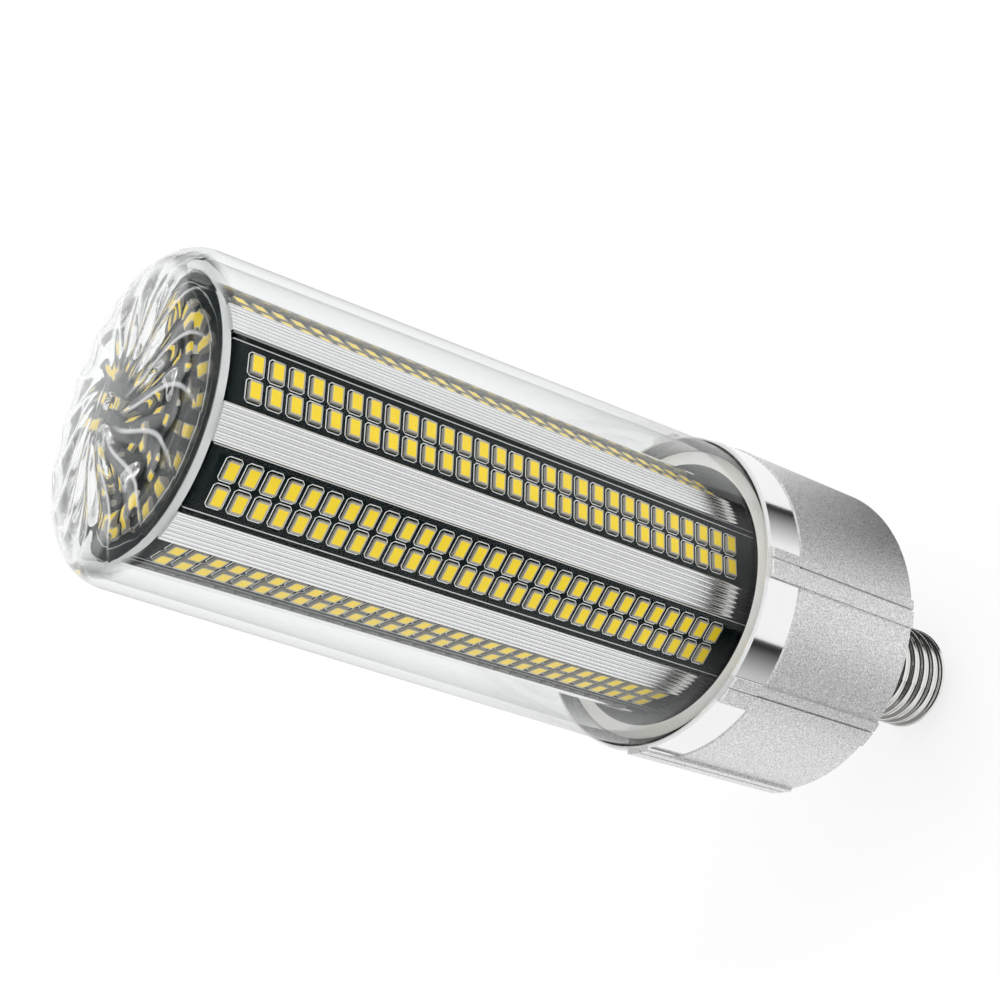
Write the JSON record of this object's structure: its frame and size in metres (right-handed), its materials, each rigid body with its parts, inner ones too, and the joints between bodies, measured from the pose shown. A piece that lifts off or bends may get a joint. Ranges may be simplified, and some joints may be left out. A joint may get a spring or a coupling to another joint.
{
  "type": "corn led bulb",
  "caption": "Corn LED bulb: clear fluted cover over an aluminium core that carries LED strips, ribbed metal housing with a bright band, and an Edison screw cap.",
  "frame": {"origin": "on the lamp's axis at the upper rim of the screw cap's shell, where the neck starts", "axes": "+Z along the lamp's axis from the screw cap to the dome; the first strip faces -Y"},
  "size_m": [0.0775, 0.0788, 0.239],
  "materials": {
    "clear_cover": "clear moulded plastic",
    "seal": "soft translucent silicone",
    "extruded_aluminium": "bright drawn, fine lengthwise reeds",
    "plate_aluminium": "bright",
    "blasted_aluminium": "fine sand-blasted, bright turned band",
    "black_board": "satin solder mask",
    "led_package": "white moulded",
    "phosphor": "yellow phosphor in silicone",
    "screw_steel": "plated",
    "neck_plastic": "fine matt",
    "nickel_shell": "bright nickel plate",
    "insulator_black": "glossy",
    "contact_metal": "bright nickel plate",
    "driver_board": "satin solder mask",
    "ferrite": "matt",
    "winding_tape": "tape",
    "capacitor_sleeve": "shrink sleeve",
    "film_yellow": "moulded box",
    "black_case": "moulded",
    "fuse_brown": "moulded",
    "wire_live": "insulated wire",
    "wire_neutral": "insulated wire",
    "wire_lead": "insulated wire"
  },
  "bodies": {
    "root": {"cover": "clear_cover", "cover_seal": "seal", "core": "extruded_aluminium", "top_board": "black_board", "top_leds": "led_package", "top_phosphor": "phosphor", "top_board_screws": "screw_steel", "core_screws": "screw_steel", "base_plate": "plate_aluminium", "housing": "blasted_aluminium", "rear_cap": "neck_plastic", "rear_cap_screws": "screw_steel", "screw_shell": "nickel_shell", "cap_insulator": "insulator_black", "contact_button": "contact_metal", "driver_board": "driver_board", "driver_screws": "screw_steel", "transformer_core": "ferrite", "transformer_winding": "winding_tape", "bulk_capacitors": "capacitor_sleeve", "film_capacitor": "film_yellow", "choke": "ferrite", "rectifier": "black_case", "switch_transistor": "black_case", "fuse": "fuse_brown", "live_wire": "wire_live", "neutral_wire": "wire_neutral", "led_leads": "wire_lead", "strip_board_1": "black_board", "strip_leds_1": "led_package", "strip_phosphor_1": "phosphor", "strip_board_2": "black_board", "strip_leds_2": "led_package", "strip_phosphor_2": "phosphor", "strip_board_3": "black_board", "strip_leds_3": "led_package", "strip_phosphor_3": "phosphor", "strip_board_4": "black_board", "strip_leds_4": "led_package", "strip_phosphor_4": "phosphor", "strip_board_5": "black_board", "strip_leds_5": "led_package", "strip_phosphor_5": "phosphor", "strip_board_6": "black_board", "strip_leds_6": "led_package", "strip_phosphor_6": "phosphor", "strip_board_7": "black_board", "strip_leds_7": "led_package", "strip_phosphor_7": "phosphor", "strip_board_8": "black_board", "strip_leds_8": "led_package", "strip_phosphor_8": "phosphor"}
  },
  "joints": []
}
